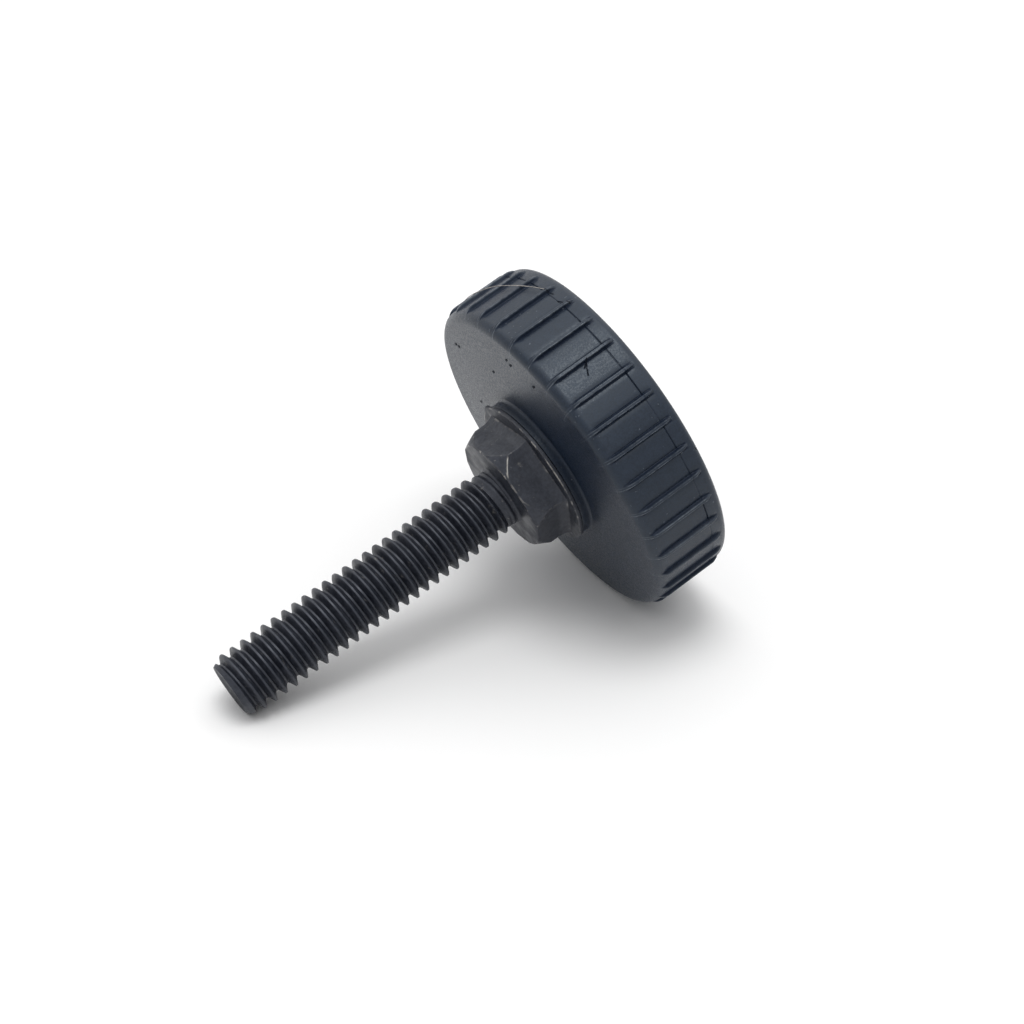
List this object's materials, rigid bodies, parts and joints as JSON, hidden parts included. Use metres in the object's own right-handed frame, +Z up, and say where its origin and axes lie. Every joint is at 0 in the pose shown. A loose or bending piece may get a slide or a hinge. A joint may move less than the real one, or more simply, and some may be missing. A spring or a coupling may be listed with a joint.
{
  "type": "leveling foot",
  "caption": "Leveling foot: a threaded steel stud with a flanged hex, moulded into a round ribbed plastic base that rests on the floor.",
  "frame": {"origin": "middle of the underside of the base, on the axis of the stud", "axes": "+Z up along the stud towards its tip; +X through a corner of the hex, so that two flats of the hex face +Y and -Y"},
  "size_m": [0.0412, 0.0412, 0.0548],
  "materials": {
    "plastic": "fine moulded texture, charcoal black",
    "steel": "black oxide, lightly worn on the crests and edges"
  },
  "bodies": {
    "root": {"base": "plastic", "stud": "steel"}
  },
  "joints": []
}
